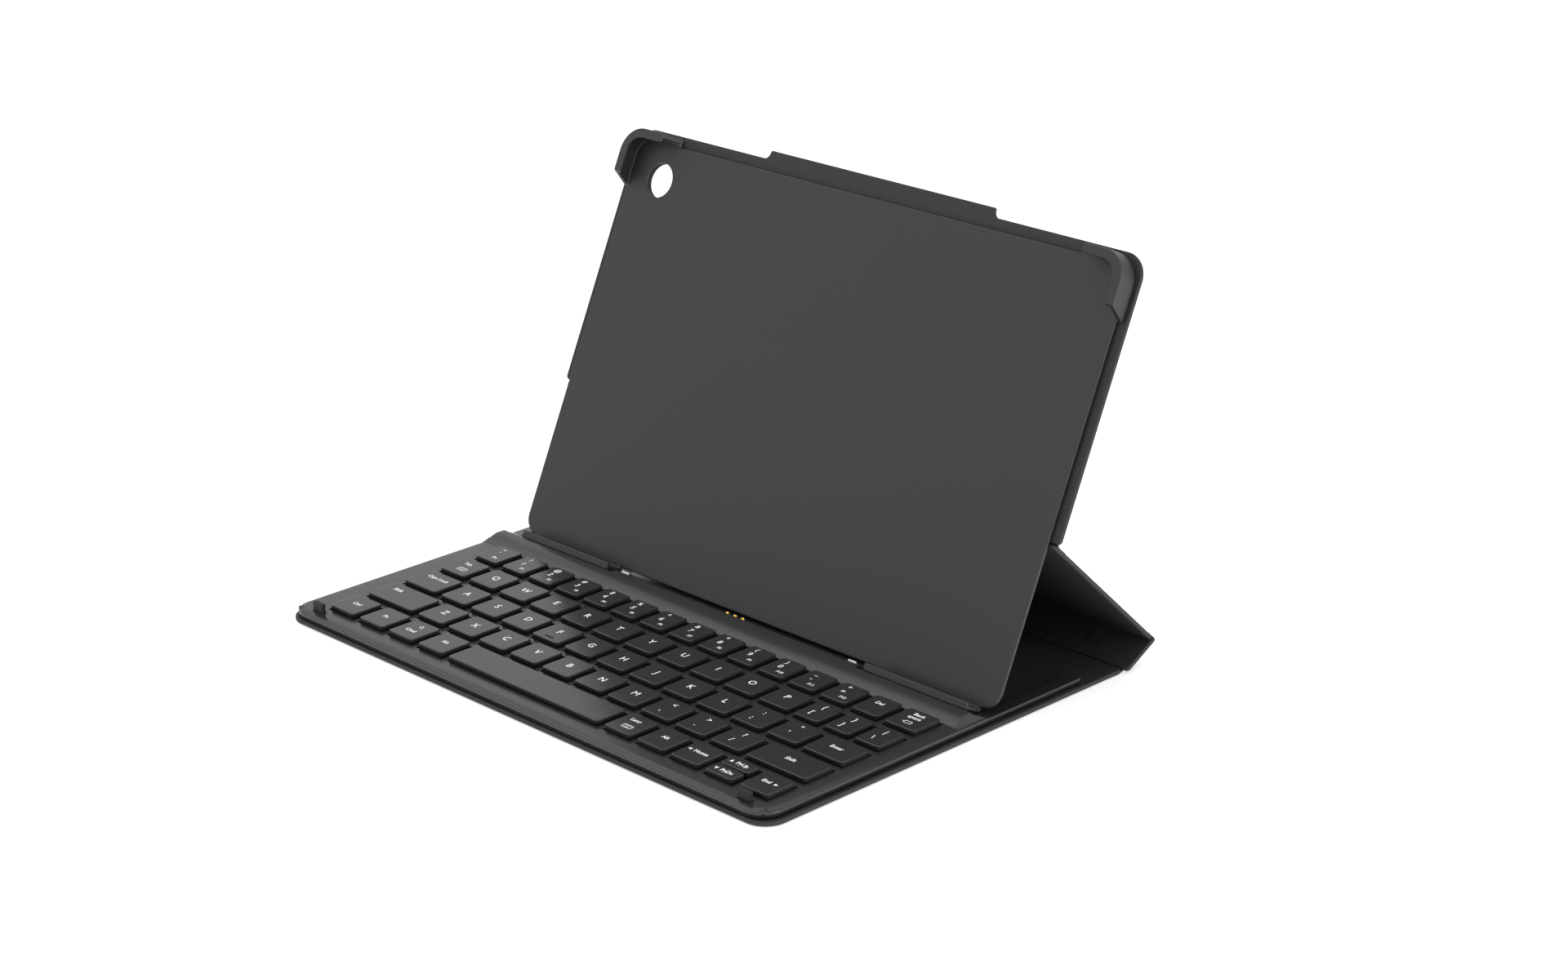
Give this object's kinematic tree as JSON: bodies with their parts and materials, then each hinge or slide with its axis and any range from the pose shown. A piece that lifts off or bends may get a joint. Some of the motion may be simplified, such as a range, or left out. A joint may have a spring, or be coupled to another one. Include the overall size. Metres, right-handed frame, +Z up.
{
  "type": "tablet keyboard case",
  "caption": "Folio keyboard case for a tablet: keyboard on a lower cover, folding spine and stand, and a clip-in tray with a camera opening.",
  "frame": {"origin": "underside of the lower cover, on the centre line of the keys and at the middle of the cover's depth", "axes": "+X along the keyboard to the typist's right, +Y from the front edge to the fold, +Z up from the table"},
  "size_m": [0.2566, 0.1938, 0.1579],
  "materials": {
    "cover_skin": "fine grained soft-touch skin, matte",
    "tray_plastic": "fine spark texture",
    "deck_plastic": "satin moulded",
    "cap_plastic": "satin with white printed legends",
    "rubber": "matte",
    "steel": "satin",
    "gold_contact": "polished gold plate",
    "circuit_film": "printed film",
    "board": "solder mask"
  },
  "bodies": {
    "base": {"bottom_cover": "cover_skin", "keyboard_deck": "deck_plastic", "key_plate": "steel", "membrane_circuit": "circuit_film", "controller_board": "board", "dock_magnet_left": "steel", "dock_magnet_right": "steel", "contact_block": "rubber", "locating_tab_left": "steel", "locating_tab_right": "steel", "bumper_left": "rubber", "bumper_right": "rubber"},
    "spine": {"spine_panel": "cover_skin", "spine_disc": "steel"},
    "stand": {"stand_panel": "cover_skin"},
    "lid": {"upper_cover": "cover_skin", "tablet_tray": "tray_plastic"},
    "key_backspace": {"key_backspace": "cap_plastic"},
    "key_enter": {"key_enter": "cap_plastic"},
    "key_left": {"key_left": "cap_plastic"},
    "key_right": {"key_right": "cap_plastic"},
    "key_space": {"key_space": "cap_plastic"},
    "keys_0_minus": {"keys_0_minus": "cap_plastic"},
    "keys_2_3": {"keys_2_3": "cap_plastic"},
    "keys_4_5": {"keys_4_5": "cap_plastic"},
    "keys_6_7": {"keys_6_7": "cap_plastic"},
    "keys_8_9": {"keys_8_9": "cap_plastic"},
    "keys_bracket_right_backslash": {"keys_bracket_right_backslash": "cap_plastic"},
    "keys_caps_a": {"keys_caps_a": "cap_plastic"},
    "keys_comma_period": {"keys_comma_period": "cap_plastic"},
    "keys_ctrl_fn": {"keys_ctrl_fn": "cap_plastic"},
    "keys_down_up": {"keys_down_up": "cap_plastic"},
    "keys_equals_delete": {"keys_equals_delete": "cap_plastic"},
    "keys_esc_1": {"keys_esc_1": "cap_plastic"},
    "keys_f_g": {"keys_f_g": "cap_plastic"},
    "keys_h_j": {"keys_h_j": "cap_plastic"},
    "keys_i_o": {"keys_i_o": "cap_plastic"},
    "keys_k_l": {"keys_k_l": "cap_plastic"},
    "keys_language_alt_right": {"keys_language_alt_right": "cap_plastic"},
    "keys_n_m": {"keys_n_m": "cap_plastic"},
    "keys_p_bracket_left": {"keys_p_bracket_left": "cap_plastic"},
    "keys_r_t": {"keys_r_t": "cap_plastic"},
    "keys_s_d": {"keys_s_d": "cap_plastic"},
    "keys_search_alt": {"keys_search_alt": "cap_plastic"},
    "keys_semicolon_quote": {"keys_semicolon_quote": "cap_plastic"},
    "keys_shift_z": {"keys_shift_z": "cap_plastic"},
    "keys_slash_shift_right": {"keys_slash_shift_right": "cap_plastic"},
    "keys_tab_q": {"keys_tab_q": "cap_plastic"},
    "keys_v_b": {"keys_v_b": "cap_plastic"},
    "keys_w_e": {"keys_w_e": "cap_plastic"},
    "keys_x_c": {"keys_x_c": "cap_plastic"},
    "keys_y_u": {"keys_y_u": "cap_plastic"},
    "contact_pin_left": {"contact_pin_left": "gold_contact"},
    "contact_pin_middle": {"contact_pin_middle": "gold_contact"},
    "contact_pin_right": {"contact_pin_right": "gold_contact"}
  },
  "joints": [
    {"name": "spine_fold", "type": "hinge", "parent": "base", "child": "spine", "pos_m": [0, 0.0888, 0.0009], "axis": [-1, 0, 0], "range_deg": [0, 28]},
    {"name": "rear_fold", "type": "hinge", "parent": "spine", "child": "stand", "pos_m": [0, 0.10408, 0.00902], "axis": [-1, 0, 0], "range_deg": [0, 109.3]},
    {"name": "back_fold", "type": "hinge", "parent": "stand", "child": "lid", "pos_m": [0, 0.04891, 0.05986], "axis": [1, 0, 0], "range_deg": [0, 71.7]},
    {"name": "press_backspace", "type": "slide", "parent": "base", "child": "key_backspace", "axis": [0, 0, -1], "range_m": [0, 0.001], "stiffness_N_per_m": 300, "springref_m": -0.001},
    {"name": "press_enter", "type": "slide", "parent": "base", "child": "key_enter", "axis": [0, 0, -1], "range_m": [0, 0.001], "stiffness_N_per_m": 300, "springref_m": -0.001},
    {"name": "press_left", "type": "slide", "parent": "base", "child": "key_left", "axis": [0, 0, -1], "range_m": [0, 0.001], "stiffness_N_per_m": 300, "springref_m": -0.001},
    {"name": "press_right", "type": "slide", "parent": "base", "child": "key_right", "axis": [0, 0, -1], "range_m": [0, 0.001], "stiffness_N_per_m": 300, "springref_m": -0.001},
    {"name": "press_space", "type": "slide", "parent": "base", "child": "key_space", "axis": [0, 0, -1], "range_m": [0, 0.001], "stiffness_N_per_m": 300, "springref_m": -0.001},
    {"name": "press_0_minus", "type": "slide", "parent": "base", "child": "keys_0_minus", "axis": [0, 0, -1], "range_m": [0, 0.001], "stiffness_N_per_m": 300, "springref_m": -0.001},
    {"name": "press_2_3", "type": "slide", "parent": "base", "child": "keys_2_3", "axis": [0, 0, -1], "range_m": [0, 0.001], "stiffness_N_per_m": 300, "springref_m": -0.001},
    {"name": "press_4_5", "type": "slide", "parent": "base", "child": "keys_4_5", "axis": [0, 0, -1], "range_m": [0, 0.001], "stiffness_N_per_m": 300, "springref_m": -0.001},
    {"name": "press_6_7", "type": "slide", "parent": "base", "child": "keys_6_7", "axis": [0, 0, -1], "range_m": [0, 0.001], "stiffness_N_per_m": 300, "springref_m": -0.001},
    {"name": "press_8_9", "type": "slide", "parent": "base", "child": "keys_8_9", "axis": [0, 0, -1], "range_m": [0, 0.001], "stiffness_N_per_m": 300, "springref_m": -0.001},
    {"name": "press_bracket_right_backslash", "type": "slide", "parent": "base", "child": "keys_bracket_right_backslash", "axis": [0, 0, -1], "range_m": [0, 0.001], "stiffness_N_per_m": 300, "springref_m": -0.001},
    {"name": "press_caps_a", "type": "slide", "parent": "base", "child": "keys_caps_a", "axis": [0, 0, -1], "range_m": [0, 0.001], "stiffness_N_per_m": 300, "springref_m": -0.001},
    {"name": "press_comma_period", "type": "slide", "parent": "base", "child": "keys_comma_period", "axis": [0, 0, -1], "range_m": [0, 0.001], "stiffness_N_per_m": 300, "springref_m": -0.001},
    {"name": "press_ctrl_fn", "type": "slide", "parent": "base", "child": "keys_ctrl_fn", "axis": [0, 0, -1], "range_m": [0, 0.001], "stiffness_N_per_m": 300, "springref_m": -0.001},
    {"name": "press_down_up", "type": "slide", "parent": "base", "child": "keys_down_up", "axis": [0, 0, -1], "range_m": [0, 0.001], "stiffness_N_per_m": 300, "springref_m": -0.001},
    {"name": "press_equals_delete", "type": "slide", "parent": "base", "child": "keys_equals_delete", "axis": [0, 0, -1], "range_m": [0, 0.001], "stiffness_N_per_m": 300, "springref_m": -0.001},
    {"name": "press_esc_1", "type": "slide", "parent": "base", "child": "keys_esc_1", "axis": [0, 0, -1], "range_m": [0, 0.001], "stiffness_N_per_m": 300, "springref_m": -0.001},
    {"name": "press_f_g", "type": "slide", "parent": "base", "child": "keys_f_g", "axis": [0, 0, -1], "range_m": [0, 0.001], "stiffness_N_per_m": 300, "springref_m": -0.001},
    {"name": "press_h_j", "type": "slide", "parent": "base", "child": "keys_h_j", "axis": [0, 0, -1], "range_m": [0, 0.001], "stiffness_N_per_m": 300, "springref_m": -0.001},
    {"name": "press_i_o", "type": "slide", "parent": "base", "child": "keys_i_o", "axis": [0, 0, -1], "range_m": [0, 0.001], "stiffness_N_per_m": 300, "springref_m": -0.001},
    {"name": "press_k_l", "type": "slide", "parent": "base", "child": "keys_k_l", "axis": [0, 0, -1], "range_m": [0, 0.001], "stiffness_N_per_m": 300, "springref_m": -0.001},
    {"name": "press_language_alt_right", "type": "slide", "parent": "base", "child": "keys_language_alt_right", "axis": [0, 0, -1], "range_m": [0, 0.001], "stiffness_N_per_m": 300, "springref_m": -0.001},
    {"name": "press_n_m", "type": "slide", "parent": "base", "child": "keys_n_m", "axis": [0, 0, -1], "range_m": [0, 0.001], "stiffness_N_per_m": 300, "springref_m": -0.001},
    {"name": "press_p_bracket_left", "type": "slide", "parent": "base", "child": "keys_p_bracket_left", "axis": [0, 0, -1], "range_m": [0, 0.001], "stiffness_N_per_m": 300, "springref_m": -0.001},
    {"name": "press_r_t", "type": "slide", "parent": "base", "child": "keys_r_t", "axis": [0, 0, -1], "range_m": [0, 0.001], "stiffness_N_per_m": 300, "springref_m": -0.001},
    {"name": "press_s_d", "type": "slide", "parent": "base", "child": "keys_s_d", "axis": [0, 0, -1], "range_m": [0, 0.001], "stiffness_N_per_m": 300, "springref_m": -0.001},
    {"name": "press_search_alt", "type": "slide", "parent": "base", "child": "keys_search_alt", "axis": [0, 0, -1], "range_m": [0, 0.001], "stiffness_N_per_m": 300, "springref_m": -0.001},
    {"name": "press_semicolon_quote", "type": "slide", "parent": "base", "child": "keys_semicolon_quote", "axis": [0, 0, -1], "range_m": [0, 0.001], "stiffness_N_per_m": 300, "springref_m": -0.001},
    {"name": "press_shift_z", "type": "slide", "parent": "base", "child": "keys_shift_z", "axis": [0, 0, -1], "range_m": [0, 0.001], "stiffness_N_per_m": 300, "springref_m": -0.001},
    {"name": "press_slash_shift_right", "type": "slide", "parent": "base", "child": "keys_slash_shift_right", "axis": [0, 0, -1], "range_m": [0, 0.001], "stiffness_N_per_m": 300, "springref_m": -0.001},
    {"name": "press_tab_q", "type": "slide", "parent": "base", "child": "keys_tab_q", "axis": [0, 0, -1], "range_m": [0, 0.001], "stiffness_N_per_m": 300, "springref_m": -0.001},
    {"name": "press_v_b", "type": "slide", "parent": "base", "child": "keys_v_b", "axis": [0, 0, -1], "range_m": [0, 0.001], "stiffness_N_per_m": 300, "springref_m": -0.001},
    {"name": "press_w_e", "type": "slide", "parent": "base", "child": "keys_w_e", "axis": [0, 0, -1], "range_m": [0, 0.001], "stiffness_N_per_m": 300, "springref_m": -0.001},
    {"name": "press_x_c", "type": "slide", "parent": "base", "child": "keys_x_c", "axis": [0, 0, -1], "range_m": [0, 0.001], "stiffness_N_per_m": 300, "springref_m": -0.001},
    {"name": "press_y_u", "type": "slide", "parent": "base", "child": "keys_y_u", "axis": [0, 0, -1], "range_m": [0, 0.001], "stiffness_N_per_m": 300, "springref_m": -0.001},
    {"name": "pin_press_left", "type": "slide", "parent": "base", "child": "contact_pin_left", "axis": [0, -0.4123, -0.911], "range_m": [0, 0.0005], "stiffness_N_per_m": 800, "springref_m": -0.0005},
    {"name": "pin_press_middle", "type": "slide", "parent": "base", "child": "contact_pin_middle", "axis": [0, -0.4123, -0.911], "range_m": [0, 0.0005], "stiffness_N_per_m": 800, "springref_m": -0.0005},
    {"name": "pin_press_right", "type": "slide", "parent": "base", "child": "contact_pin_right", "axis": [0, -0.4123, -0.911], "range_m": [0, 0.0005], "stiffness_N_per_m": 800, "springref_m": -0.0005}
  ],
  "couplings": [
    {"joint": "back_fold", "follows": "rear_fold", "ratio": 0.6557}
  ]
}
